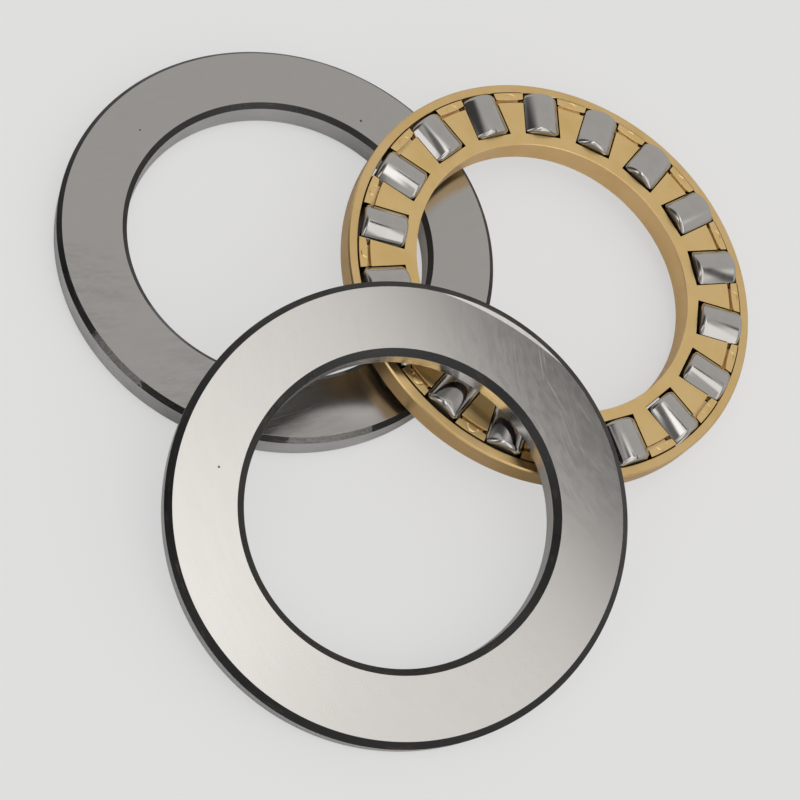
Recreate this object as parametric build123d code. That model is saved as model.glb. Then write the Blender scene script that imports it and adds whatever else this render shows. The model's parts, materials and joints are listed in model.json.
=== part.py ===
from build123d import *
import math
import os

# A single-direction cylindrical roller thrust bearing for a 90 mm shaft, taken apart and laid out:
# the housing washer lies flat, the cage with its rollers leans with one side on that washer's rim,
# and the shaft washer leans over both with its lower edge on the same surface.
# Millimetres, +Z up. The origin is the centre of the housing washer, on its axis at half thickness.

# Washers
SHAFT_WASHER_BORE = 90.0
HOUSING_WASHER_BORE = 93.0
SHAFT_WASHER_OUTER = 135.0
HOUSING_WASHER_OUTER = 135.0
WASHER_THICKNESS = 10.5
BACK_CHAMFER = 2.1
RACEWAY_CHAMFER = 1.5

# Rollers
ROLLER_COUNT = 18
ROLLER_DIAMETER = 14.0
ROLLER_LENGTH = 14.0

# Cage body: one turned ring, drilled from its rim for the rollers and grooved on both faces
CAGE_BORE = 90.6
CAGE_FACE_WIDTH = 8.3
CAGE_INNER_WALL = 3.7
POCKET_CLEARANCE = 0.08
ROLLER_END_PLAY = 0.7
GROOVE_WIDTH = 1.6
GROOVE_DEPTH = 1.9
LIP_WIDTH = 2.2
STAKE_RADIUS = 30.0
STAKE_SWELL = 0.65

# Cage ring: the band that closes the pockets, held by the staked lips
RING_WALL = 3.0
RING_WIDTH = 7.5
RING_FIT = 0.02

# Layout: where each leaning piece stands, the way its face looks, and how close pieces rest
CAGE_X = 84.0
CAGE_Y = 5.7
CAGE_LEAN_TOWARD = -7.0
CAGE_TURN = 1.05
SHAFT_WASHER_X = 46.1
SHAFT_WASHER_Y = -85.1
SHAFT_WASHER_LEAN_TOWARD = -89.6
REST_GAP = 0.12
END_GAP = 0.05
STEEPEST_LEAN = 40.0
HALVINGS = 30
CONTACT_STEPS = 15

# Worked out from the sizes above
FLOOR = -WASHER_THICKNESS / 2
ROLLER_RADIUS = ROLLER_DIAMETER / 2
POCKET_INNER_RADIUS = CAGE_BORE / 2 + CAGE_INNER_WALL
ROLLER_STOP = POCKET_INNER_RADIUS + ROLLER_LENGTH + ROLLER_END_PLAY
POCKET_MIDDLE_RADIUS = (POCKET_INNER_RADIUS + ROLLER_STOP) / 2
RING_INNER_RADIUS = math.hypot(ROLLER_STOP, ROLLER_RADIUS)
RING_OUTER_RADIUS = RING_INNER_RADIUS + RING_WALL
BODY_OUTER_RADIUS = RING_INNER_RADIUS - RING_FIT
LIP_INNER_RADIUS = BODY_OUTER_RADIUS - LIP_WIDTH
GROOVE_INNER_RADIUS = LIP_INNER_RADIUS - GROOVE_WIDTH
PITCH_ANGLE = 360 / ROLLER_COUNT


def ring_section(inner, outer, width):
    """The section of a plain ring between two radii, drawn at half its width above and below zero."""
    return Pos((inner + outer) / 2, 0) * Rectangle(outer - inner, width)


def turned(section):
    """One solid of revolution about Z from a section of radius and height."""
    return revolve(Plane.XZ * section, Axis.Z)


def washer(bore, outer):
    """A flat ground washer centred on the origin, its raceway face up and its back face down."""
    section = ring_section(bore / 2, outer / 2, WASHER_THICKNESS)
    section = chamfer(section.vertices().group_by(Axis.Y)[-1], RACEWAY_CHAMFER)
    section = chamfer(section.vertices().group_by(Axis.Y)[0], BACK_CHAMFER)
    return turned(section)


def roller():
    """A cylindrical roller along X."""
    return Rot(0, 90, 0) * Cylinder(ROLLER_RADIUS, ROLLER_LENGTH)


def groove():
    """The annular groove cut into the upper face, which leaves the lip outside it."""
    ring = turned(ring_section(GROOVE_INNER_RADIUS, LIP_INNER_RADIUS, 2 * GROOVE_DEPTH))
    return Pos(0, 0, CAGE_FACE_WIDTH / 2) * ring


def stake(angle):
    """Metal of the upper lip that the staking punch has swelled into the groove at one web."""
    swell_radius = LIP_INNER_RADIUS - STAKE_SWELL
    root_radius = LIP_INNER_RADIUS + LIP_WIDTH / 4
    swell = Pos(swell_radius + STAKE_RADIUS, 0, 0) * Cylinder(STAKE_RADIUS, GROOVE_DEPTH)
    level = Pos(0, 0, (CAGE_FACE_WIDTH - GROOVE_DEPTH) / 2)
    return Rot(0, 0, angle) * level * (swell & Cylinder(root_radius, GROOVE_DEPTH))


def pocket_drill():
    """The drill that enters the rim along X and stops at the pocket's flat bottom."""
    depth = RING_OUTER_RADIUS - POCKET_INNER_RADIUS
    drill = Cylinder(ROLLER_RADIUS + POCKET_CLEARANCE, depth)
    return Pos(POCKET_INNER_RADIUS + depth / 2, 0, 0) * Rot(0, 90, 0) * drill


def cage_body():
    """The machined cage body, centred on the origin, its first pocket along X."""
    body = turned(ring_section(CAGE_BORE / 2, BODY_OUTER_RADIUS, CAGE_FACE_WIDTH))
    webs = [(turn + 0.5) * PITCH_ANGLE for turn in range(ROLLER_COUNT)]
    for face in (Rot(0, 0, 0), Rot(180, 0, 0)):
        body = body - face * groove()
        body = body + [face * stake(angle) for angle in webs]
    return body - [Rot(0, 0, turn * PITCH_ANGLE) * pocket_drill() for turn in range(ROLLER_COUNT)]


def cage_ring():
    """The band pressed round the cage body, centred on the origin."""
    return turned(ring_section(RING_INNER_RADIUS, RING_OUTER_RADIUS, RING_WIDTH))


def leaning(x, y, height, lean, toward):
    """A place above the floor whose upward axis leans by an angle toward a compass direction."""
    return Pos(x, y, FLOOR + height) * Rot(0, 0, toward) * Rot(0, lean, 0) * Rot(0, 0, -toward)


def cage_place(lean):
    """The cage leaning by this angle, its lowest roller or the rim of its ring on the floor."""
    tilt = math.radians(lean)
    roller_end = ROLLER_STOP - END_GAP
    on_roller = roller_end * math.sin(tilt) + ROLLER_RADIUS * math.cos(tilt)
    on_ring = RING_OUTER_RADIUS * math.sin(tilt) + RING_WIDTH / 2 * math.cos(tilt)
    return leaning(CAGE_X, CAGE_Y, max(on_roller, on_ring), lean, CAGE_LEAN_TOWARD)


def shaft_washer_place(lean):
    """The shaft washer leaning by this angle, its raceway face's outer edge on the floor."""
    tilt = math.radians(lean)
    edge = SHAFT_WASHER_OUTER / 2 - RACEWAY_CHAMFER
    height = edge * math.sin(tilt) + WASHER_THICKNESS / 2 * math.cos(tilt)
    return leaning(SHAFT_WASHER_X, SHAFT_WASHER_Y, height, lean, SHAFT_WASHER_LEAN_TOWARD)


def roller_places(cage):
    """Each roller's place, slid down its pocket as far as the lean of the cage carries it."""
    slack = ROLLER_END_PLAY / 2 - END_GAP
    places = []
    for turn in range(ROLLER_COUNT):
        angle = CAGE_TURN + turn * PITCH_ANGLE
        downhill = math.cos(math.radians(angle - CAGE_LEAN_TOWARD))
        slide = max(-1, min(1, 2 * downhill)) * slack
        places.append(cage * Rot(0, 0, angle) * Pos(POCKET_MIDDLE_RADIUS + slide, 0, 0))
    return places


def axis_of(place, direction):
    """A direction of a place's own axes, as the rest of the part sees it."""
    return (place * Pos(*direction)).position - place.position


def skin_points(place, outward):
    """Points along the roller's skin where it reaches furthest in the outward direction."""
    along = axis_of(place, (1, 0, 0))
    reach = (outward - along * outward.dot(along)).normalized() * ROLLER_RADIUS
    half = ROLLER_LENGTH / 2
    steps = [half * (2 * step / (CONTACT_STEPS - 1) - 1) for step in range(CONTACT_STEPS)]
    return [place.position + along * step + reach for step in steps]


def gap_to_washer(points, face_centre, normal, inner, outer):
    """The least height of the points over a washer's flat face, counting those in front of it."""
    gaps = []
    for point in points:
        offset = point - face_centre
        height = offset.dot(normal)
        if inner <= (offset - normal * height).length <= outer:
            gaps.append(height)
    return min(gaps, default=math.inf)


def cage_gap(lean):
    """How far the rollers are above the housing washer's raceway when the cage leans by this angle."""
    up = Vector(0, 0, 1)
    centre = Vector(0, 0, WASHER_THICKNESS / 2)
    inner = HOUSING_WASHER_BORE / 2 + RACEWAY_CHAMFER
    outer = HOUSING_WASHER_OUTER / 2 - RACEWAY_CHAMFER
    places = roller_places(cage_place(lean))
    return min(gap_to_washer(skin_points(place, -up), centre, up, inner, outer) for place in places)


def shaft_washer_gap(lean, places):
    """How far the shaft washer's raceway is above the rollers when the washer leans by this angle."""
    washer_place = shaft_washer_place(lean)
    up = axis_of(washer_place, (0, 0, 1))
    centre = washer_place.position - up * (WASHER_THICKNESS / 2)
    inner = SHAFT_WASHER_BORE / 2 + RACEWAY_CHAMFER
    outer = SHAFT_WASHER_OUTER / 2 - RACEWAY_CHAMFER
    return min(gap_to_washer(skin_points(place, up), centre, -up, inner, outer) for place in places)


def resting_lean(gap_at):
    """The smallest lean, by halving, at which the gap has grown to the resting gap."""
    low, high = 0.0, STEEPEST_LEAN
    for _ in range(HALVINGS):
        middle = (low + high) / 2
        if gap_at(middle) < REST_GAP:
            low = middle
        else:
            high = middle
    return high


cage = cage_place(resting_lean(cage_gap))
rollers = roller_places(cage)
shaft_washer = shaft_washer_place(resting_lean(lambda lean: shaft_washer_gap(lean, rollers)))
turned_cage = cage * Rot(0, 0, CAGE_TURN)

parts = {
    "housing_washer": washer(HOUSING_WASHER_BORE, HOUSING_WASHER_OUTER),
    "shaft_washer": shaft_washer * Rot(180, 0, 0) * washer(SHAFT_WASHER_BORE, SHAFT_WASHER_OUTER),
    "cage_body": turned_cage * cage_body(),
    "cage_ring": turned_cage * cage_ring(),
}
for number, place in enumerate(rollers, start=1):
    parts[f"roller_{number:02d}"] = place * roller()

os.makedirs("parts", exist_ok=True)
for node, solid in parts.items():
    export_step(solid, f"parts/{node}.step")
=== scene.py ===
import json
import math

import bpy
import numpy as np
from bpy.props import FloatProperty, FloatVectorProperty, IntProperty, PointerProperty
from mathutils import Matrix, Vector


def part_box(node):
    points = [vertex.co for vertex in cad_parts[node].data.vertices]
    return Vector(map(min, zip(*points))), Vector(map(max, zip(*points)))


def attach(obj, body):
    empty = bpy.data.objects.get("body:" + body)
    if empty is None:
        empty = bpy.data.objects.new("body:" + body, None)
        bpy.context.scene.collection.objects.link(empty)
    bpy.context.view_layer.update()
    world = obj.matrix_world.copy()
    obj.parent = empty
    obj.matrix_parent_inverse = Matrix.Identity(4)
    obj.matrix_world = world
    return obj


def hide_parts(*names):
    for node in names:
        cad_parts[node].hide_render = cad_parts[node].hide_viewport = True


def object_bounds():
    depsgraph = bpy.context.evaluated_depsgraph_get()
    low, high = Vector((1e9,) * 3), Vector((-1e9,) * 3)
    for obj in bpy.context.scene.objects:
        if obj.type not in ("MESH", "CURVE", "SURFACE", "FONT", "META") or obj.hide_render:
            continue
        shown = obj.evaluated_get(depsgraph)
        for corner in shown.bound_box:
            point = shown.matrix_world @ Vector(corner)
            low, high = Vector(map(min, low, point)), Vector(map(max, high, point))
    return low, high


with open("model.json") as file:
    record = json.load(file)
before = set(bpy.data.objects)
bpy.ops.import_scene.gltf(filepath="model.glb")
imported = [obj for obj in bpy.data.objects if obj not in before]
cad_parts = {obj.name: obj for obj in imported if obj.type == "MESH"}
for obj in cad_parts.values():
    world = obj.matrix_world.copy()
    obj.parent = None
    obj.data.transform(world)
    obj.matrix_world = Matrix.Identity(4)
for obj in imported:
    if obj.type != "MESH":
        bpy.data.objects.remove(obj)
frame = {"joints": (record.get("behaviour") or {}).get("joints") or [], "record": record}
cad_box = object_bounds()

# Dresses a cylindrical roller thrust bearing, taken apart and laid out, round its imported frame:
# two ground washers, a machined brass cage with its staked ring, and eighteen polished rollers.

bl_info = {
    "name": "Roller Thrust Bearing",
    "version": (1, 0, 0),
    "blender": (4, 5, 0),
    "location": "3D View > Sidebar > Bearing",
    "description": "Builds the visible pieces of a roller thrust bearing round its frame",
    "category": "Add Mesh",
}

MM = 0.001

# Faces round a washer or the ring, round a roller or a drill, and along a rounded corner
RING_COLUMNS = 384
ROLLER_COLUMNS = 96
ARC_STEPS = 3

# The finishes of a washer and of the cage, in the order of their materials
FACE, SCALE, WALL = range(3)
LAND, BORE, GROOVE, POCKET = range(4)

# How far the cage's ring clears its body all round
RING_FIT = 0.02 * MM

# The studio: a grey wall, and cards by place, half sizes, turn in degrees, softness and level
SKY_TINT = (1.0, 0.985, 0.96)
SKY_WALL = 0.60
SKY_CARDS = (
    (0.61, -0.46, 0.22, 0.68, -9, 0.53, 1.02),
    (-0.74, 0.04, 0.47, 0.60, -24, 0.65, 0.07),
    (-0.28, -0.51, 0.16, 0.64, -22, 0.30, 0.17),
    (-0.60, -0.54, 0.16, 0.14, 49, 0.21, 1.40),
    (0.288, -0.364, 0.189, 0.677, 20, 0.26, 1.28),
    (-0.03, -0.309, 0.119, 0.422, -19, 0.48, 1.85),
    (0.256, 0.069, 0.058, 0.140, 46, 0.16, 0.02),
    (0.70, -0.22, 0.074, 0.57, 29, 0.53, 0.10),
)


# Places, read from the frame


def middle_of(node):
    """The middle of a node's box, which is the centre of a turned piece however it leans."""
    low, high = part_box(node)
    return (low + high) / 2


def place_at(centre, axis, towards):
    """A place whose Z runs along an axis and whose X points as nearly as it can in a direction."""
    z = Vector(axis).normalized()
    y = z.cross(Vector(towards)).normalized()
    return Matrix.Translation(centre) @ Matrix((y.cross(z), y, z)).transposed().to_4x4()


def roller_joints():
    """The joints of the rollers, by the body that each one turns."""
    return {joint["child"]: joint for joint in frame["joints"]}


def mount(name):
    """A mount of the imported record."""
    return next(found for found in frame["record"]["mounts"] if found["name"] == name)


def cage_place():
    """The cage's place: every roller axis lies in its plane, and the first pocket is along X."""
    joints = roller_joints()
    first = Vector(joints["roller_01"]["axis"])
    normal = first.cross(Vector(joints["roller_05"]["axis"]))
    return place_at(middle_of("cage_ring"), normal * math.copysign(1, normal.z), first)


PLACES = {
    "housing_washer": place_at(middle_of("housing_washer"), (0, 0, 1), (1, 0, 0)),
    "shaft_washer": place_at(middle_of("shaft_washer"), mount("shaft_seat")["axis"], (1, 0, 0)),
    "cage": cage_place(),
}

WASHER_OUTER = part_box("housing_washer")[1].x
WASHER_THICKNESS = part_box("housing_washer")[1].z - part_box("housing_washer")[0].z
ROLLER_COUNT = len(roller_joints())
PITCH = 2 * math.pi / ROLLER_COUNT


# Surfaces


def smooth(value):
    """The S-shaped step 3x^2 - 2x^3 of a value held between 0 and 1."""
    held = np.clip(value, 0, 1)
    return held * held * (3 - 2 * held)


def rounded_section(corners):
    """A closed section with its corners rounded, as rows of radius, height, normal and finish.

    corners lists (radius, height, rounding, finish) with the metal on the left; a finish is that
    of the side after its corner. Two sides that turn through an angle t touch an arc of radius R
    at R*tan(t/2) from their corner. A point of the arc is its centre plus R times a direction that
    swings evenly from one side's outward normal to the other's.
    """
    points = np.array([corner[:2] for corner in corners])
    along = np.roll(points, -1, axis=0) - points
    along /= np.linalg.norm(along, axis=1, keepdims=True)
    outward = np.stack([along[:, 1], -along[:, 0]], axis=1)
    rows = []
    for index, (_, _, rounding, finish) in enumerate(corners):
        before, after, normal = along[index - 1], along[index], outward[index - 1]
        turn = math.atan2(before[0] * after[1] - before[1] * after[0], before @ after)
        side = math.copysign(1, turn)
        start = points[index] - before * rounding * math.tan(abs(turn) / 2)
        swing = turn * np.linspace(0, 1, ARC_STEPS + 1)[:, None]
        across = np.array([-normal[1], normal[0]])
        normals = np.cos(swing) * normal + np.sin(swing) * across
        arc = start + side * rounding * (normals - normal)
        rows.append(np.column_stack([arc, normals, np.full(ARC_STEPS + 1, finish)]))
    return np.concatenate(rows)


def grid_mesh(name, points, rows_close, finishes):
    """A mesh over a grid of points whose columns run round an axis.

    Each face joins two columns and two rows in the order that turns its normal outwards. Where
    the rows don't close on themselves, the first and last row each get a flat end.
    """
    rows, columns = points.shape[:2]
    column = np.arange(columns)
    first_row = np.arange(rows if rows_close else rows - 1)[:, None] * columns
    next_row = (first_row + columns) % (rows * columns)
    next_column = (column + 1) % columns
    first, after_first = first_row + column, first_row + next_column
    second, after_second = next_row + column, next_row + next_column
    faces = np.stack([first, after_first, after_second, second], axis=-1).reshape(-1, 4)
    finish = np.repeat(finishes[: len(first_row)], columns)
    mesh = bpy.data.meshes.new(name)
    if rows_close:
        mesh.from_pydata(points.reshape(-1, 3), [], faces)
    else:
        ends = [column[::-1].tolist(), (column + (rows - 1) * columns).tolist()]
        mesh.from_pydata(points.reshape(-1, 3).tolist(), [], faces.tolist() + ends)
        finish = np.append(finish, [finishes[0], finishes[-1]])
    mesh.polygons.foreach_set("material_index", finish.astype(np.int32))
    mesh.shade_smooth()
    return mesh


def turned_points(radius, height, angle):
    """A surface of revolution: radius times the cosine and sine of the angle, and the height."""
    return np.stack([radius * np.cos(angle), radius * np.sin(angle), height], axis=-1)


def turned_mesh(name, section, columns, place):
    """A section turned round its axis, with the section's own normals, at a place of the frame."""
    angle = np.arange(columns) * 2 * math.pi / columns
    level = np.ones(columns)
    radius, height, outward, upward = (section[:, [part]] * level for part in range(4))
    mesh = grid_mesh(name, turned_points(radius, height, angle), True, section[:, 4])
    normals = turned_points(outward, upward, angle).reshape(-1, 3)
    mesh.normals_split_custom_set_from_vertices(normals)
    mesh.transform(place)
    return mesh


def add_piece(mesh, body, nodes, materials):
    """Shows a mesh at the origin, riding on a body, in place of the nodes that it stands for."""
    piece = bpy.data.objects.new(mesh.name, mesh)
    bpy.context.scene.collection.objects.link(piece)
    for material in materials:
        mesh.materials.append(material)
    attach(piece, body)
    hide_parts(*nodes)
    return piece


# Finishes


def shade(colour, share=1.0):
    """A colour with its parts scaled alike, and its alpha."""
    return (*(share * part for part in colour), 1.0)


class Nodes:
    """A node tree, with short calls for what the finishes and the sky are made of."""

    def __init__(self, tree):
        """Takes the tree that the calls add to."""
        self.tree = tree

    def feed(self, socket, value):
        """Gives a socket a value, or links the output of a node to it."""
        if isinstance(value, bpy.types.NodeSocket):
            self.tree.links.new(value, socket)
        else:
            socket.default_value = value

    def add(self, kind, inputs=None, **settings):
        """A node with its settings made and its inputs fed."""
        node = self.tree.nodes.new(kind)
        for name, value in settings.items():
            setattr(node, name, value)
        for socket, value in (inputs or {}).items():
            self.feed(node.inputs[socket], value)
        return node

    def math(self, operation, *values):
        """What an operation makes of one to three numbers, each a value or an output."""
        node = self.add("ShaderNodeMath", dict(enumerate(values)), operation=operation)
        return node.outputs[0]

    def step(self, value, low, high, to_low=0.0, to_high=1.0, kind="SMOOTHSTEP"):
        """A smooth or straight step of a value between two bounds."""
        inputs = {"Value": value, 1: low, 2: high, 3: to_low, 4: to_high}
        return self.add("ShaderNodeMapRange", inputs, interpolation_type=kind).outputs["Result"]

    def blend(self, factor, first, second):
        """One colour blended into another."""
        node = self.add("ShaderNodeMix", {0: factor, 6: first, 7: second}, data_type="RGBA")
        return node.outputs[2]


class Finish(Nodes):
    """A material whose patterns are laid out in its piece's own space, in millimetres."""

    def __init__(self, name, place, **surface):
        """Makes the material, sets what is even all over its surface, and places its patterns."""
        self.material = bpy.data.materials.new(name)
        self.material.use_nodes = True
        super().__init__(self.material.node_tree)
        self.shader = self.tree.nodes["Principled BSDF"]
        for socket, value in surface.items():
            self.set(socket.title(), value)
        whole_space = self.add("ShaderNodeTexCoord").outputs["Object"]
        to_piece = self.add("ShaderNodeMapping", {"Vector": whole_space}, vector_type="TEXTURE")
        to_piece.inputs["Location"].default_value = place.to_translation()
        to_piece.inputs["Rotation"].default_value = place.to_euler()
        to_piece.inputs["Scale"].default_value = (MM, MM, MM)
        self.spot = to_piece.outputs["Vector"]

    def set(self, socket, value):
        """Gives a socket of the surface a value, or the output of a node."""
        self.feed(self.shader.inputs[socket], value)

    def noise(self, scale, detail=2.0, roughness=0.5, spot=None, stretch=None):
        """Noise from 0 to 1 with so many waves to the millimetre, drawn out along some axes."""
        spot = spot or self.spot
        if stretch:
            drawn = {0: spot, 1: stretch}
            spot = self.add("ShaderNodeVectorMath", drawn, operation="MULTIPLY").outputs[0]
        inputs = {"Vector": spot, "Scale": scale, "Detail": detail, "Roughness": roughness}
        return self.add("ShaderNodeTexNoise", inputs).outputs["Fac"]

    def distance(self, point):
        """How far a spot is from a point of the piece, in millimetres."""
        inputs = {0: self.spot, 1: point}
        return self.add("ShaderNodeVectorMath", inputs, operation="DISTANCE").outputs["Value"]

    def polar(self, centre):
        """A spot's distance from the upright line through a centre, and its angle round it."""
        offset = self.add("ShaderNodeVectorMath", {0: self.spot, 1: centre}, operation="SUBTRACT")
        parts = self.add("ShaderNodeSeparateXYZ", {"Vector": offset.outputs[0]}).outputs
        squares = [self.math("POWER", parts[axis], 2.0) for axis in (0, 1)]
        distance = self.math("SQRT", self.math("ADD", *squares))
        return distance, self.math("ARCTAN2", parts[1], parts[0])

    def strokes(self, centre, across, along):
        """Tool strokes on circles round a centre: noise that is fine across them and long on them.

        The noise is read at the distance from the centre times one number and at the angle times
        another, so that a stroke is that much longer than it is wide.
        """
        distance, angle = self.polar(centre)
        x, y = self.math("MULTIPLY", distance, across), self.math("MULTIPLY", angle, along)
        lines = self.add("ShaderNodeCombineXYZ", {"X": x, "Y": y}).outputs[0]
        return self.noise(1.0, detail=3.0, roughness=0.6, spot=lines)

    def bump(self, height, depth, under=None):
        """A bump of so many millimetres between the height's 0 and 1."""
        inputs = {"Height": height, "Strength": 1.0, "Distance": depth * MM}
        if under:
            inputs["Normal"] = under
        return self.add("ShaderNodeBump", inputs).outputs["Normal"]


def ground_face(name, place, settings, roughness, wheel_centres, worked_and_shaded, marks, rim=None):
    """A face ground flat, nearly smooth but for the grinding wheel's arcs and a few marks.

    The arcs cross round the wheel's centres and show most near the worked and shaded places, each a
    spot and how far it reaches; there the wheel's stains darken the colour most, partly as painted
    shade. A mark is a spot and its radius. A rim is the centre and radius of a circle beyond which
    the face rises.
    """
    finish = Finish(name, place, metallic=1.0)
    mark_colour = (0.04, 0.035, 0.03)
    shown = 0.12
    for x, y, reach in worked_and_shaded:
        near = finish.step(finish.polar((x, y, 0))[0], reach * 0.3, reach, 1.0, 0.0)
        shown = finish.math("MAXIMUM", shown, near)
    fine = finish.strokes(wheel_centres[0], 4.0, 9.0)
    arcs, scratches, stains = 0.0, 0.0, 0.0
    for number, centre in enumerate(wheel_centres):
        arcs = finish.math("ADD", arcs, finish.strokes(centre, 1.9 - 0.2 * number, 5.0))
        thin = finish.step(finish.strokes(centre, 2.0 + 0.4 * number, 4.0), 0.60, 0.70)
        scratches = finish.math("MAXIMUM", scratches, thin)
        wide = finish.step(finish.strokes(centre, 0.35 + 0.1 * number, 16.0), 0.42, 0.72)
        stains = finish.math("MAXIMUM", stains, wide)
    # Wheel stains darken the colour, most near the places above, some of which lie in shade: partly
    # real stains, partly painted shade.
    stains_and_painted_shade = finish.math("MULTIPLY", stains, shown)
    colour = finish.blend(stains_and_painted_shade, shade(settings.face_colour), shade(settings.face_colour, 0.84))
    for x, y, radius in marks:
        at = (x, y, WASHER_THICKNESS / MM / 2)
        near = finish.step(finish.distance(at), radius * 0.5, radius * 1.2, 0.9, 0.0)
        colour = finish.blend(near, colour, shade(mark_colour))
    finish.set("Base Color", colour)
    scratched = finish.math("MULTIPLY", scratches, shown)
    rough = finish.math("MULTIPLY_ADD", scratched, 0.10, roughness - 0.03)
    finish.set("Roughness", finish.math("MULTIPLY_ADD", fine, 0.06, rough))
    surface = finish.bump(finish.math("MULTIPLY", arcs, shown), settings.wheel_marks)
    if rim:
        centre, radius = rim
        rim_width, rim_height = 4.0, 0.2
        rise = finish.step(finish.polar(centre)[0], radius, radius + rim_width, kind="LINEAR")
        surface = finish.bump(rise, rim_height, surface)
    finish.set("Normal", surface)
    return finish.material


def washer_scale(name, place, settings, polished_spans):
    """The unground chamfers: forged scale, black outside and dark grey in the bore.

    Brown temper streaks run round it, and it is rubbed to bare grey steel over a few spans, each
    the angle of its middle and half its width in degrees. The grain moves a span's angles by up
    to the raggedness, in radians, and half of that is taken back from its middle.
    """
    raggedness, span_end = 0.12, 0.006
    finish = Finish(name, place)
    distance, angle = finish.polar((0, 0, 0))
    streaks = finish.strokes((0, 0, 0), 0.9, 7.0)
    grain = finish.noise(1.4, detail=4.0, roughness=0.6)
    grey = shade([0.022 + part for part in settings.scale_colour])
    outside = finish.step(distance, 50.0, 60.0)
    colour = finish.blend(outside, grey, shade(settings.scale_colour))
    brown = finish.step(streaks, 0.56, 0.70, 0.0, 0.8)
    colour = finish.blend(brown, colour, shade(settings.temper_colour))
    bare = 0.0
    ragged = finish.math("MULTIPLY_ADD", grain, raggedness, angle)
    for middle, half_width in polished_spans:
        from_middle = finish.math("SUBTRACT", ragged, math.radians(middle) + raggedness / 2)
        away, reach = finish.math("ABSOLUTE", from_middle), math.radians(half_width)
        rubbed = finish.step(away, reach - span_end, reach + span_end, 1.0, 0.0)
        bare = finish.math("MAXIMUM", bare, rubbed)
    mottled = finish.step(grain, 0.42, 0.60)
    light, dark = shade(settings.face_colour, 0.50), shade(settings.face_colour, 0.34)
    steel = finish.blend(mottled, light, dark)
    finish.set("Base Color", finish.blend(bare, colour, steel))
    finish.set("Metallic", bare)
    finish.set("Specular IOR Level", 0.4)
    rough = finish.math("MULTIPLY_ADD", finish.noise(0.16, detail=3.0), 0.5, 0.08)
    finish.set("Roughness", finish.math("MAXIMUM", rough, finish.math("MULTIPLY", bare, 0.45)))
    finish.set("Normal", finish.bump(grain, 0.012))
    return finish.material


def ground_wall(name, place, settings):
    """A bore or outer wall ground on centres: fine lines round the axis."""
    finish = Finish(name, place, metallic=1.0)
    lines = finish.noise(1.0, detail=3.0, stretch=(0.03, 0.03, 5.0))
    clouds = finish.noise(0.05, detail=2.0)
    worn = finish.step(clouds, 0.35, 0.7)
    colour = finish.blend(worn, shade(settings.wall_colour), shade(settings.wall_colour, 0.85))
    finish.set("Base Color", colour)
    finish.set("Roughness", finish.math("MULTIPLY_ADD", lines, 0.12, 0.20))
    finish.set("Normal", finish.bump(lines, 0.002))
    return finish.material


def turned_brass(name, settings, tone, roughness, upright):
    """Machined brass: the lathe's fine lines, cloudy tarnish and a few dark specks.

    The tone scales the brass's red, green and blue. An upright wall has its lines round the axis,
    one above the other, and a face has them on circles.
    """
    finish = Finish(name, PLACES["cage"], metallic=1.0)
    speck_colour = (0.25, 0.16, 0.05)
    if upright:
        lines = finish.noise(1.0, detail=3.0, stretch=(0.02, 0.02, 4.0))
    else:
        lines = finish.strokes((0, 0, 0), 4.0, 5.0)
    clouds = finish.noise(0.09, detail=4.0, roughness=0.55)
    clean = tuple(min(1.0, part * scale) for part, scale in zip(settings.brass_colour, tone))
    tarnished = (clean[0] * 0.93, clean[1] * 0.90, clean[2] * 0.80, 1.0)
    colour = finish.blend(finish.step(clouds, 0.35, 0.75), shade(clean), tarnished)
    specks = finish.step(finish.noise(0.9, detail=1.0), 0.80, 0.84, 0.0, 0.5)
    finish.set("Base Color", finish.blend(specks, colour, shade(speck_colour)))
    rough = finish.math("MULTIPLY_ADD", lines, 0.10, roughness - 0.05)
    finish.set("Roughness", finish.math("MULTIPLY_ADD", clouds, 0.08, rough))
    finish.set("Normal", finish.bump(lines, 0.003))
    return finish.material


def polished_steel(name, place, settings):
    """A superfinished roller: a near mirror with faint lines round its axis, and rougher ends whose
    darker colour is painted shade.
    """
    finish = Finish(name, place, metallic=1.0)
    lines = finish.noise(1.0, detail=2.0, stretch=(0.06, 0.06, 3.0))
    clouds = finish.noise(0.25, detail=2.0)
    worn = finish.step(clouds, 0.4, 0.7)
    colour = finish.blend(worn, shade(settings.roller_colour), shade(settings.roller_colour, 0.96))
    along = finish.add("ShaderNodeSeparateXYZ", {"Vector": finish.spot}).outputs["Z"]
    end = settings.length / MM / 2
    on_end = finish.step(finish.math("ABSOLUTE", along), end - 0.08, end - 0.01)
    # The ground ends are rougher, and their darker colour is painted shade from the pockets they sit
    # in.
    finish.set("Base Color", finish.blend(on_end, colour, shade(settings.roller_colour, 0.5)))
    rough = finish.math("MULTIPLY_ADD", lines, 0.05, settings.roller_roughness)
    finish.set("Roughness", finish.math("MULTIPLY_ADD", on_end, 0.3, rough))
    finish.set("Normal", finish.bump(lines, 0.0006))
    return finish.material


# Settings


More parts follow.
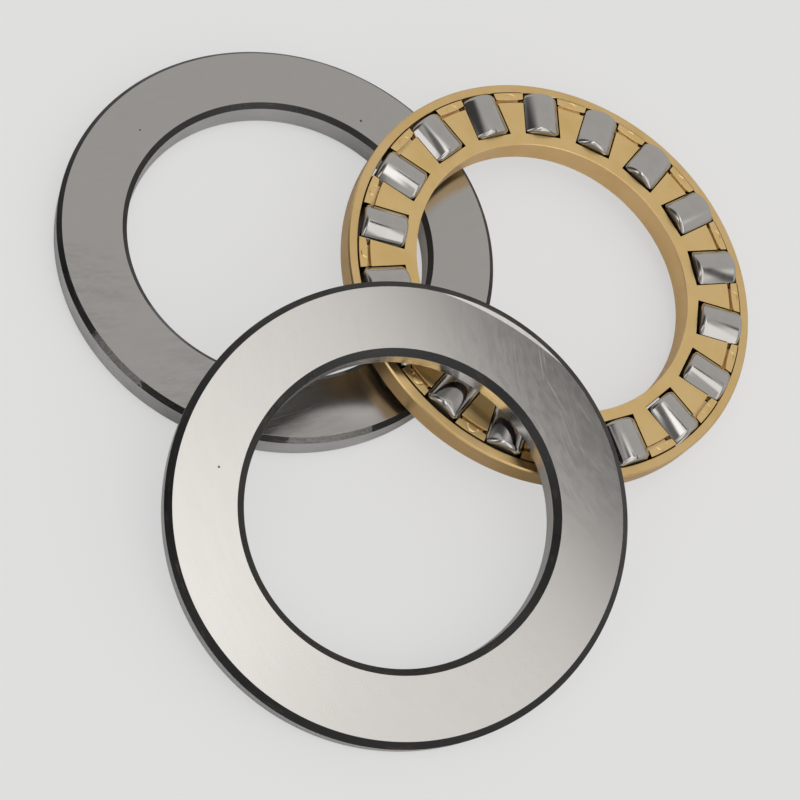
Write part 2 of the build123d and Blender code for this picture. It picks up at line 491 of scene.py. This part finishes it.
class BearingWasherSettings(bpy.types.PropertyGroup):
    """The sizes and finishes of both washers"""

    raceway_chamfer: FloatProperty(
        name="Raceway Chamfer", description="Chamfer of the raceway side",
        default=1.5 * MM, unit="LENGTH")
    back_chamfer: FloatProperty(
        name="Back Chamfer", description="Chamfer of the back side", default=2.1 * MM, unit="LENGTH")
    edge_rounding: FloatProperty(
        name="Edge Rounding", description="Radius between faces and chamfers",
        default=0.08 * MM, unit="LENGTH")
    columns: IntProperty(
        name="Columns", description="Faces round a washer", default=RING_COLUMNS, min=32)
    face_colour: FloatVectorProperty(
        name="Ground Steel", description="Colour of the ground faces", subtype="COLOR",
        default=(0.50, 0.487, 0.473), min=0, max=1)
    wall_colour: FloatVectorProperty(
        name="Ground Walls", description="Colour of the bores and the outer walls", subtype="COLOR",
        default=(0.68, 0.675, 0.68), min=0, max=1)
    raceway_roughness: FloatProperty(
        name="Raceway Roughness", description="Roughness of the housing washer's ground faces",
        default=0.22, min=0, max=1, subtype="FACTOR")
    back_roughness: FloatProperty(
        name="Back Roughness", description="Roughness of the shaft washer's ground faces",
        default=0.15, min=0, max=1, subtype="FACTOR")
    wheel_marks: FloatProperty(
        name="Wheel Marks", description="Depth of the grinding marks in millimetres",
        default=0.0007, precision=4)
    scale_colour: FloatVectorProperty(
        name="Scale", description="Colour of the unground chamfers", subtype="COLOR",
        default=(0.011, 0.011, 0.012), min=0, max=1)
    temper_colour: FloatVectorProperty(
        name="Temper Streaks", description="Brown left by the heat treatment", subtype="COLOR",
        default=(0.085, 0.055, 0.032), min=0, max=1)


class BearingCageSettings(bpy.types.PropertyGroup):
    """The sizes of the cage's body and ring, and their brass"""

    bore: FloatProperty(
        name="Bore", description="Diameter of the cage's bore", default=90.6 * MM, unit="LENGTH")
    width: FloatProperty(
        name="Width", description="Width between the two faces of the body",
        default=8.3 * MM, unit="LENGTH")
    pocket_floor: FloatProperty(
        name="Pocket Floor", description="Radius where a pocket ends", default=49.0 * MM, unit="LENGTH")
    pocket_radius: FloatProperty(
        name="Pocket Radius", description="Radius of a pocket", default=7.2 * MM, unit="LENGTH")
    ring_inner: FloatProperty(
        name="Ring Inner Radius", description="Where the ring meets the body",
        default=64.083 * MM, unit="LENGTH")
    ring_outer: FloatProperty(
        name="Ring Outer Radius", description="Outer radius of the ring",
        default=67.083 * MM, unit="LENGTH")
    ring_width: FloatProperty(
        name="Ring Width", description="Width of the ring", default=7.5 * MM, unit="LENGTH")
    groove_width: FloatProperty(
        name="Groove Width", description="Width of the groove inside a lip",
        default=1.6 * MM, unit="LENGTH")
    groove_depth: FloatProperty(
        name="Groove Depth", description="Depth of the groove inside a lip",
        default=1.9 * MM, unit="LENGTH")
    lip_width: FloatProperty(
        name="Lip Width", description="Width of the staked lip", default=2.2 * MM, unit="LENGTH")
    stake_swell: FloatProperty(
        name="Stake Swell", description="How far a stake swells into the groove",
        default=0.75 * MM, unit="LENGTH")
    stake_depth: FloatProperty(
        name="Stake Mark", description="Depth of the punch's mark", default=0.18 * MM, unit="LENGTH")
    edge_break: FloatProperty(
        name="Edge Break", description="Width of the pockets' broken edges",
        default=0.12 * MM, unit="LENGTH")
    brass_colour: FloatVectorProperty(
        name="Brass", description="Colour of the machined faces", subtype="COLOR",
        default=(0.90, 0.64, 0.285), min=0, max=1)


class BearingRollerSettings(bpy.types.PropertyGroup):
    """The size and finish of the rollers"""

    diameter: FloatProperty(
        name="Diameter", description="Diameter of a roller", default=14 * MM, unit="LENGTH")
    length: FloatProperty(
        name="Length", description="Length of a roller", default=14 * MM, unit="LENGTH")
    corner: FloatProperty(
        name="Corner", description="Radius of a roller's rounded corners",
        default=1.5 * MM, unit="LENGTH")
    roller_colour: FloatVectorProperty(
        name="Roller Steel", description="Colour of the rollers", subtype="COLOR",
        default=(0.53, 0.515, 0.50), min=0, max=1)
    roller_roughness: FloatProperty(
        name="Roller Roughness", description="Roughness of the polished rollers",
        default=0.10, min=0, max=1, subtype="FACTOR")


class BearingStageSettings(bpy.types.PropertyGroup):
    """The floor, the light and the camera"""

    floor_colour: FloatVectorProperty(
        name="Floor", description="Colour of the floor", subtype="COLOR",
        default=(0.80, 0.80, 0.80), min=0, max=1)
    backdrop: FloatProperty(
        name="Backdrop", description="How bright the camera sees the backdrop", default=0.75, min=0)
    floor_glow: FloatProperty(
        name="Floor Glow", description="How bright the floor is to the camera without light",
        default=0.90, min=0)
    glow_share: FloatProperty(
        name="Glow Share", description="Share of the glow in the floor that the camera sees",
        default=0.6, min=0, max=1, subtype="FACTOR")
    light_level: FloatProperty(
        name="Light Level", description="Strength of the studio's light", default=1.0, min=0)
    camera_target: FloatVectorProperty(
        name="Camera Target", description="The point of the floor that the camera looks at",
        subtype="XYZ", unit="LENGTH", default=(44.57 * MM, -41.98 * MM, 0))
    camera_distance: FloatProperty(
        name="Camera Distance", description="From the camera to its target",
        default=687.17 * MM, unit="LENGTH")
    camera_azimuth: FloatProperty(
        name="Camera Azimuth", description="Turn of the camera round the bearing",
        default=math.radians(-19.577), subtype="ANGLE")
    camera_elevation: FloatProperty(
        name="Camera Elevation", description="Height of the camera above the horizon",
        default=math.radians(60.909), subtype="ANGLE")
    camera_roll: FloatProperty(
        name="Camera Roll", description="Turn of the camera about its own line of sight",
        default=math.radians(30.406), subtype="ANGLE")
    lens: FloatProperty(
        name="Lens", description="Focal length of the camera's lens in millimetres",
        default=103.135, unit="CAMERA")


SETTINGS = {
    "bearing_washers": BearingWasherSettings,
    "bearing_cage": BearingCageSettings,
    "bearing_rollers": BearingRollerSettings,
    "bearing_stage": BearingStageSettings,
}


# Pieces


def washer_section(bore, outer, thickness, top_chamfer, bottom_chamfer, rounding):
    """A washer's section: ground faces and walls, with a chamfer at each of the four corners."""
    top, low = thickness / 2, -thickness / 2
    return rounded_section([
        (bore + bottom_chamfer, low, rounding, FACE),
        (outer - bottom_chamfer, low, rounding, SCALE),
        (outer, low + bottom_chamfer, rounding, WALL),
        (outer, top - top_chamfer, rounding, SCALE),
        (outer - top_chamfer, top, rounding, FACE),
        (bore + top_chamfer, top, rounding, SCALE),
        (bore, top - top_chamfer, rounding, WALL),
        (bore, low + bottom_chamfer, rounding, SCALE),
    ])


def add_washer(settings, node, bore_mount, chamfers, face, polished_spans=()):
    """Turns a washer from its bore's mount and its chamfers, and shows it for its node."""
    chamfer = washer_scale(node + "_black_chamfer", PLACES[node], settings, polished_spans)
    wall = ground_wall(node + "_ground_wall", PLACES[node], settings)
    bore = mount(bore_mount)["dims"]["r_mm"] * MM
    section = washer_section(bore, WASHER_OUTER, WASHER_THICKNESS, *chamfers, settings.edge_rounding)
    mesh = turned_mesh("ground_" + node, section, settings.columns, PLACES[node])
    add_piece(mesh, "root", [node], [face, chamfer, wall])


class BEARING_OT_housing_washer(bpy.types.Operator):
    """Builds the housing washer, which lies flat with its raceway up"""

    bl_idname = "bearing.housing_washer"
    bl_label = "Housing Washer"

    def execute(self, context):
        settings = context.scene.bearing_washers
        chamfers = (settings.raceway_chamfer, settings.back_chamfer)
        # Places in the washer's own millimetres, and the spans in degrees
        wheels = [(-78, 107, 0), (-95, 125, 0)]
        # The second place lies in the shaft washer's shade, where the stains paint shade.
        worked_and_shaded = [(-56, -35, 24), (-2, -58, 45)]
        marks = [(18.4, 48.5, 0.45), (-48.2, 25.4, 0.35)]
        polished = [(-127.7, 8.7), (-67.9, 11.2)]
        face = ground_face(
            "housing_washer_ground_face", PLACES["housing_washer"], settings,
            settings.raceway_roughness, wheels, worked_and_shaded, marks)
        add_washer(settings, "housing_washer", "housing_washer_bore", chamfers, face, polished)
        return {"FINISHED"}


class BEARING_OT_shaft_washer(bpy.types.Operator):
    """Builds the shaft washer, which leans with its back face up"""

    bl_idname = "bearing.shaft_washer"
    bl_label = "Shaft Washer"

    def execute(self, context):
        settings = context.scene.bearing_washers
        chamfers = (settings.back_chamfer, settings.raceway_chamfer)
        # Places in the washer's own millimetres
        wheels = [(117, 111, 0), (140, 88, 0)]
        # This place is the face's darker quarter, where the stains paint shade.
        worked_and_shaded = [(42, 42, 52)]
        marks = [(-53.5, 0.3, 0.4)]
        rim = ((-12.7, -38.7, 0), 104.85)
        face = ground_face(
            "shaft_washer_ground_face", PLACES["shaft_washer"], settings,
            settings.back_roughness, wheels, worked_and_shaded, marks, rim)
        add_washer(settings, "shaft_washer", "shaft_seat", chamfers, face)
        return {"FINISHED"}


def lip_radius(settings):
    """Where a lip of the cage body begins, in from the ring by its fit and the lip's width."""
    return settings.ring_inner - RING_FIT - settings.lip_width


def cage_section(settings):
    """The cage body's section before its pockets are drilled, with close rows over both lips.

    The lip leans away from the ring near its top, which leaves the dark line between the two, and the
    leaning face takes the pocket's painted shade. The lower half mirrors the upper one, and runs from
    the bore outwards.
    """
    bore, half = settings.bore / 2, settings.width / 2
    outer, lip = settings.ring_inner - RING_FIT, lip_radius(settings)
    groove, floor = lip - settings.groove_width, half - settings.groove_depth
    edge, root, bore_edge = 0.12 * MM, 0.08 * MM, 0.30 * MM
    lean_in, lean_down = 0.30 * MM, 0.90 * MM
    upper = [
        (outer, half - lean_down, 0.05 * MM, POCKET),
        (outer - lean_in, half, edge, LAND),
        (lip, half, edge, GROOVE),
        (lip, floor, root, GROOVE),
        (groove, floor, root, GROOVE),
        (groove, half, edge, LAND),
        (bore, half, bore_edge, BORE),
    ]
    mirrored = [corner[3] for corner in upper[-2::-1]] + [BORE]
    lower = [(x, -y, corner, finish) for (x, y, corner, _), finish in zip(upper[::-1], mirrored)]
    section = rounded_section(lower + upper)
    # The inner wall and the top of each lip, by number of side and of rows, from the last one back
    lip_sides = ((9, 3), (8, 15), (4, 15), (3, 3))
    for side, rows in lip_sides:
        last = side * (ARC_STEPS + 1) + ARC_STEPS
        section = with_more_rows(section, last, last + 1, rows)
    return section


def with_more_rows(section, start, end, count):
    """A section with so many rows put evenly between two of its neighbouring rows."""
    share = np.linspace(0, 1, count + 2)[1:-1, None]
    between = section[start] * (1 - share) + section[end] * share
    between[:, 4] = section[start, 4]
    return np.concatenate([section[: start + 1], between, section[start + 1:]])


def staked(radius, height, angle, settings):
    """Moves the lips of the cage body as a staking punch does at the middle of every web.

    u is the distance round the lip from the web's middle and v the distance out from the groove,
    both in millimetres. The lip swells into the groove by 1 - (u/half length)^2, most at its top
    edge. The punch leaves a crescent: a trough whose depth is a bell curve of the distance from a
    circle about a point in the groove, and which begins a little way out. The metal between it
    and the groove bulges in a bell curve of u and v.
    """
    half = settings.width / 2
    floor = half - settings.groove_depth
    u = (np.mod(angle, PITCH) - PITCH / 2) * radius / MM
    v = (radius - lip_radius(settings)) / MM
    above_floor = np.abs(height) > floor - 0.01 * MM
    on_lip = (v > -0.3) & above_floor & (radius < settings.ring_inner - 0.1 * MM)
    rise = smooth((np.abs(height) - floor) / (half - floor))
    half_length, swell_reach = 6.2, 0.9
    length = np.clip(1 - (u / half_length) ** 2, 0, 1)
    swell = settings.stake_swell * length * rise * (1 - smooth(v / swell_reach))
    circle_middle, circle_radius, trough_width = -0.95, 2.25, 0.17
    from_circle = np.abs(np.hypot(u, v - circle_middle) - circle_radius)
    begins, grows = 0.05, 0.35
    trough = settings.stake_depth * np.exp(-((from_circle / trough_width) ** 2))
    trough *= smooth((v - begins) / grows)
    bulge_height, bulge_middle, bulge_length, bulge_width = 0.05 * MM, 0.55, 1.35, 0.5
    far = -((u / bulge_length) ** 2) - ((v - bulge_middle) / bulge_width) ** 2
    bulge = bulge_height * np.exp(far)
    moved = np.where(on_lip, radius - swell, radius)
    lift = np.where(on_lip, rise * (bulge - trough), 0)
    return moved, height + np.sign(height) * lift


def pocket_drills(settings):
    """The drills, each a cylinder along its own radius from the pocket's floor outwards.

    A drill's rim is its radius times the sine of an angle across and times the cosine upwards,
    and the drill is then turned to its place round the cage.
    """
    inner = np.arange(ROLLER_COLUMNS)
    around = inner * 2 * math.pi / ROLLER_COLUMNS
    across, up = settings.pocket_radius * np.sin(around), settings.pocket_radius * np.cos(around)
    reach = np.array([settings.pocket_floor, settings.ring_outer + 2 * MM])[None, :, None]
    number = np.arange(ROLLER_COUNT)[:, None, None]
    turn = number * 2 * math.pi / ROLLER_COUNT
    x = reach * np.cos(turn) - across * np.sin(turn)
    y = reach * np.sin(turn) + across * np.cos(turn)
    points = np.stack([x, y, np.broadcast_to(up, x.shape)], axis=-1)
    outer, next_inner = inner + ROLLER_COLUMNS, (inner + 1) % ROLLER_COLUMNS
    wall = np.stack([inner, outer, next_inner + ROLLER_COLUMNS, next_inner], axis=-1)
    first = number * 2 * ROLLER_COLUMNS
    walls = (first + wall).reshape(-1, 4).tolist()
    ends = (first + np.stack([inner, outer[::-1]])).reshape(-1, ROLLER_COLUMNS).tolist()
    mesh = bpy.data.meshes.new("drills")
    mesh.from_pydata(points.reshape(-1, 3).tolist(), [], walls + ends)
    mesh.polygons.foreach_set("material_index", np.full(len(walls) + len(ends), POCKET, np.int32))
    return mesh


def mark_pocket_edges(mesh):
    """Gives a bevel weight to each edge between a pocket's wall and another surface of the cage."""
    finish = np.zeros(len(mesh.polygons), np.int32)
    mesh.polygons.foreach_get("material_index", finish)
    count = np.zeros(len(mesh.polygons), np.int32)
    mesh.polygons.foreach_get("loop_total", count)
    edge_of = np.zeros(len(mesh.loops), np.int32)
    mesh.loops.foreach_get("edge_index", edge_of)
    drilled = np.repeat(finish == POCKET, count)
    inside, outside = np.zeros((2, len(mesh.edges)), bool)
    inside[edge_of[drilled]] = True
    outside[edge_of[~drilled]] = True
    weight = mesh.attributes.new("bevel_weight_edge", "FLOAT", "EDGE")
    weight.data.foreach_set("value", (inside & outside).astype(np.float32))


def apply_modifiers(piece):
    """Puts what a piece's modifiers make into its mesh."""
    graph = bpy.context.evaluated_depsgraph_get()
    mesh = bpy.data.meshes.new_from_object(piece.evaluated_get(graph), depsgraph=graph)
    piece.modifiers.clear()
    piece.data = mesh


def level_flat_faces(mesh):
    """Gives each corner of a face that lies across the axis that face's own normal."""
    count = np.zeros(len(mesh.polygons), np.int32)
    mesh.polygons.foreach_get("loop_total", count)
    facing = np.zeros((len(mesh.polygons), 3), np.float32)
    mesh.polygons.foreach_get("normal", facing.ravel())
    normals = np.zeros((len(mesh.loops), 3), np.float32)
    mesh.corner_normals.foreach_get("vector", normals.ravel())
    flat = np.repeat(np.abs(facing[:, 2]) > 0.9999, count)
    normals[flat] = np.repeat(facing, count, axis=0)[flat]
    mesh.normals_split_custom_set(normals)


def cage_blank(settings):
    """The turned and staked cage body before its pockets are drilled.

    Each pitch has a few columns over its pocket, and close ones over its web, where the stake is.
    """
    web = np.linspace(7.2, 12.8, 36)
    columns = np.concatenate([[0, 1.7, 3.4, 5.0], web, [15.0, 16.6, 18.3]])
    turns = np.arange(ROLLER_COUNT)[:, None] * 360 / ROLLER_COUNT
    angle = np.radians((turns + columns).ravel())
    section = cage_section(settings)
    level = np.ones(len(angle))
    radius, height = staked(section[:, [0]] * level, section[:, [1]] * level, angle, settings)
    return grid_mesh("blank", turned_points(radius, height, angle), True, section[:, 4])


def cage_finishes(settings):
    """The cage body's finishes, in the order of LAND, BORE, GROOVE and POCKET; the groove's paler brass
    is painted light and the pocket's near-black brass is painted shade.
    """
    return [
        turned_brass("cage_face_brass", settings, (1.01, 1.02, 1.06), 0.27, False),
        turned_brass("cage_bore_brass", settings, (1.10, 1.10, 1.25), 0.33, True),
        # A paler, brighter brass: painted light that lifts the deep groove out of its shade.
        turned_brass("cage_groove_brass_painted_light", settings, (1.0, 1.08, 1.4), 0.33, False),
        # Near-black brass: painted shade in the pockets, on their broken edges and on the lips' lean
        # faces.
        turned_brass("cage_pocket_painted_shade", settings, (0.10, 0.09, 0.10), 0.50, False),
    ]


class BEARING_OT_cage_body(bpy.types.Operator):
    """Builds the machined cage body with its grooves, staked lips and drilled pockets"""

    bl_idname = "bearing.cage_body"
    bl_label = "Cage Body"

    def execute(self, context):
        settings = context.scene.bearing_cage
        finishes = cage_finishes(settings)
        blank = bpy.data.objects.new("blank", cage_blank(settings))
        drills = bpy.data.objects.new("drills", pocket_drills(settings))
        for made in (blank, drills):
            context.scene.collection.objects.link(made)
            for finish in finishes:
                made.data.materials.append(finish)
        cut = blank.modifiers.new("pockets", "BOOLEAN")
        cut.operation, cut.object, cut.solver = "DIFFERENCE", drills, "EXACT"
        apply_modifiers(blank)
        mark_pocket_edges(blank.data)
        edge = blank.modifiers.new("edges", "BEVEL")
        edge.limit_method, edge.width, edge.segments = "WEIGHT", settings.edge_break, 1
        # The broken edges take the pocket's painted shade.
        edge.use_clamp_overlap, edge.loop_slide, edge.material = False, False, POCKET
        apply_modifiers(blank)
        blank.data.shade_smooth()
        blank.data.set_sharp_from_angle(angle=math.radians(35))
        blank.modifiers.new("even faces", "WEIGHTED_NORMAL").keep_sharp = True
        apply_modifiers(blank)
        body = blank.data
        level_flat_faces(body)
        for made in (blank, drills):
            bpy.data.objects.remove(made)
        body.name = "machined_cage_body"
        body.transform(PLACES["cage"])
        add_piece(body, "root", ["cage_body"], [])
        return {"FINISHED"}


class BEARING_OT_cage_ring(bpy.types.Operator):
    """Builds the ring that closes the pockets"""

    bl_idname = "bearing.cage_ring"
    bl_label = "Cage Ring"

    def execute(self, context):
        settings = context.scene.bearing_cage
        inner, outer, half = settings.ring_inner, settings.ring_outer, settings.ring_width / 2
        chamfer, inside = 0.5 * MM, 0.15 * MM
        soft, crisp = 0.2 * MM, 0.05 * MM
        section = rounded_section([
            (inner + inside, -half, crisp, LAND),
            (outer - chamfer, -half, soft, LAND),
            (outer, -half + chamfer, soft, BORE),
            (outer, half - chamfer, soft, LAND),
            (outer - chamfer, half, soft, LAND),
            (inner + inside, half, crisp, LAND),
            (inner, half - inside, crisp, BORE),
            (inner, -half + inside, crisp, LAND),
        ])
        mesh = turned_mesh("pressed_cage_ring", section, RING_COLUMNS, PLACES["cage"])
        finishes = [
            turned_brass("ring_face_brass", settings, (0.96, 0.96, 1.03), 0.27, False),
            # A darker copy of the brass on the ring's walls: painted shade.
            turned_brass("ring_wall_brass_painted_shade", settings, (0.84, 0.80, 0.86), 0.32, True),
        ]
        add_piece(mesh, "root", ["cage_ring"], finishes)
        return {"FINISHED"}


def roller_mesh(name, settings, place):
    """A roller: flat ends, round corners and a straight side, turned round its own axis.

    A corner is a quarter circle: its centre plus its radius times a sine outwards and a cosine
    along the axis. Two rows on the flat end lie between it and the face in the end's middle.
    """
    half, radius, corner = settings.length / 2, settings.diameter / 2, settings.corner
    swing = np.linspace(0, math.pi / 2, 9)
    flat = np.array([0.4, 0.995]) * (radius - corner)
    end_radius = np.concatenate([flat, radius - corner + corner * np.sin(swing)])
    end_height = np.concatenate([[half, half], half - corner + corner * np.cos(swing)])
    section_radius = np.concatenate([end_radius, end_radius[::-1]])[:, None]
    section_height = np.concatenate([-end_height, end_height[::-1]])[:, None]
    angle = np.arange(ROLLER_COLUMNS) * 2 * math.pi / ROLLER_COLUMNS
    level = np.ones(ROLLER_COLUMNS)
    points = turned_points(section_radius * level, section_height * level, angle)
    mesh = grid_mesh(name, points, False, np.zeros(len(section_radius)))
    mesh.transform(place)
    return mesh


class BEARING_OT_rollers(bpy.types.Operator):
    """Builds the eighteen polished rollers, each on its own body"""

    bl_idname = "bearing.rollers"
    bl_label = "Rollers"

    def execute(self, context):
        settings = context.scene.bearing_rollers
        up = PLACES["cage"].to_3x3() @ Vector((0, 0, 1))
        for body, joint in sorted(roller_joints().items()):
            place = place_at(Vector(joint["pos_m"]), joint["axis"], up)
            mesh = roller_mesh("polished_" + body, settings, place)
            finish = polished_steel(body + "_polished_steel", place, settings)
            add_piece(mesh, body, [body], [finish])
        return {"FINISHED"}


class BEARING_OT_stage(bpy.types.Operator):
    """Sets the pale floor, the soft studio light and the camera"""

    bl_idname = "bearing.stage"
    bl_label = "Stage"

    def execute(self, context):
        settings = context.scene.bearing_stage
        add_floor(context, settings)
        add_light(context, settings)
        add_camera(context, settings)
        context.scene.view_settings.view_transform = "Standard"
        return {"FINISHED"}


def add_floor(context, settings):
    """A wide pale floor under the lowest point of the frame."""
    reach, level = 6.0, cad_box[0].z - 0.02 * MM
    corners = [(x * reach, y * reach, level) for x, y in ((-1, -1), (1, -1), (1, 1), (-1, 1))]
    mesh = bpy.data.meshes.new("studio_floor")
    mesh.from_pydata(corners, [], [(0, 1, 2, 3)])
    floor = bpy.data.objects.new("studio_floor", mesh)
    context.scene.collection.objects.link(floor)
    finish = Finish("studio_floor_paper", Matrix.Identity(4), roughness=1.0)
    finish.set("Base Color", shade(settings.floor_colour))
    finish.set("Specular IOR Level", 0.0)
    glow = finish.add("ShaderNodeEmission", {"Color": shade((1, 1, 1), settings.floor_glow)})
    camera_sees = finish.add("ShaderNodeLightPath").outputs["Is Camera Ray"]
    share = finish.math("MULTIPLY", camera_sees, settings.glow_share)
    surfaces = {0: share, 1: finish.shader.outputs[0], 2: glow.outputs[0]}
    mixed = finish.add("ShaderNodeMixShader", surfaces)
    finish.feed(finish.tree.nodes["Material Output"].inputs["Surface"], mixed.outputs[0])
    mesh.materials.append(finish.material)


def add_light(context, settings):
    """A studio sky, as cards laid over each other on a plain grey wall.

    A direction's x and y are moved and turned into a card's own space, where the card reaches
    from -1 to 1 both ways, and the sky takes the card's level where both are well inside.
    """
    world = bpy.data.worlds.new("studio_sky")
    world.use_nodes = True
    world.node_tree.nodes.clear()
    context.scene.world = world
    sky = Nodes(world.node_tree)
    direction = sky.add("ShaderNodeTexCoord").outputs["Generated"]
    light = shade(SKY_TINT, SKY_WALL)
    for x, y, half_width, half_height, turn, softness, level in SKY_CARDS:
        card = sky.add("ShaderNodeMapping", {"Vector": direction}, vector_type="TEXTURE")
        card.inputs["Location"].default_value = (x, y, 0)
        card.inputs["Rotation"].default_value = (0, 0, math.radians(turn))
        card.inputs["Scale"].default_value = (half_width, half_height, 1)
        across = sky.add("ShaderNodeSeparateXYZ", {"Vector": card.outputs["Vector"]}).outputs
        inside = []
        for axis in (0, 1):
            away = sky.math("ABSOLUTE", across[axis])
            inside.append(sky.step(away, 1 - softness, 1, 1.0, 0.0))
        light = sky.blend(sky.math("MULTIPLY", *inside), light, shade(SKY_TINT, level))
    lit = sky.add("ShaderNodeBackground", {"Color": light, "Strength": settings.light_level})
    backdrop = sky.add("ShaderNodeBackground", {"Color": shade((1, 1, 1), settings.backdrop)})
    camera_sees = sky.add("ShaderNodeLightPath").outputs["Is Camera Ray"]
    surfaces = {0: camera_sees, 1: lit.outputs[0], 2: backdrop.outputs[0]}
    mixed = sky.add("ShaderNodeMixShader", surfaces)
    sky.add("ShaderNodeOutputWorld", {"Surface": mixed.outputs[0]})


def add_camera(context, settings):
    """The camera, looking at its target from a distance, a turn, a height and a roll."""
    camera = bpy.data.cameras.new("photo_view")
    camera.lens, camera.sensor_width = settings.lens, 36.0
    camera.clip_start, camera.clip_end = 0.05, 20.0
    holder = bpy.data.objects.new("photo_view", camera)
    context.scene.collection.objects.link(holder)
    turn, rise = settings.camera_azimuth, settings.camera_elevation
    outward, upward = math.cos(rise), math.sin(rise)
    back = Vector((math.sin(turn) * outward, -math.cos(turn) * outward, upward))
    level = (-back).to_track_quat("-Z", "Y").to_matrix()
    rolled = level @ Matrix.Rotation(settings.camera_roll, 3, "Z")
    place = Matrix.Translation(Vector(settings.camera_target) + back * settings.camera_distance)
    holder.matrix_world = place @ rolled.to_4x4()
    context.scene.camera = holder


class BEARING_PT_sidebar(bpy.types.Panel):
    """Lists the bearing's pieces and their settings"""

    bl_idname = "BEARING_PT_sidebar"
    bl_label = "Roller Thrust Bearing"
    bl_space_type = "VIEW_3D"
    bl_region_type = "UI"
    bl_category = "Bearing"

    def draw(self, context):
        """Draws a button for each operator, and a box for each group of settings."""
        for operator in OPERATORS:
            self.layout.operator(operator.bl_idname)
        for name, group in SETTINGS.items():
            box = self.layout.box()
            for setting in group.__annotations__:
                box.prop(getattr(context.scene, name), setting)


OPERATORS = (
    BEARING_OT_stage,
    BEARING_OT_housing_washer,
    BEARING_OT_shaft_washer,
    BEARING_OT_cage_body,
    BEARING_OT_cage_ring,
    BEARING_OT_rollers,
)

CLASSES = (*SETTINGS.values(), *OPERATORS, BEARING_PT_sidebar)


def register():
    """Registers the classes and gives the scene its settings."""
    for made in CLASSES:
        bpy.utils.register_class(made)
    for name, group in SETTINGS.items():
        setattr(bpy.types.Scene, name, PointerProperty(type=group))


def unregister():
    """Takes the settings from the scene and unregisters the classes."""
    for name in SETTINGS:
        delattr(bpy.types.Scene, name)
    for made in reversed(CLASSES):
        bpy.utils.unregister_class(made)


def main():
    """Builds the stage and every piece."""
    register()
    bpy.ops.bearing.stage()
    bpy.ops.bearing.housing_washer()
    bpy.ops.bearing.shaft_washer()
    bpy.ops.bearing.cage_body()
    bpy.ops.bearing.cage_ring()
    bpy.ops.bearing.rollers()


if __name__ == "__main__":
    main()
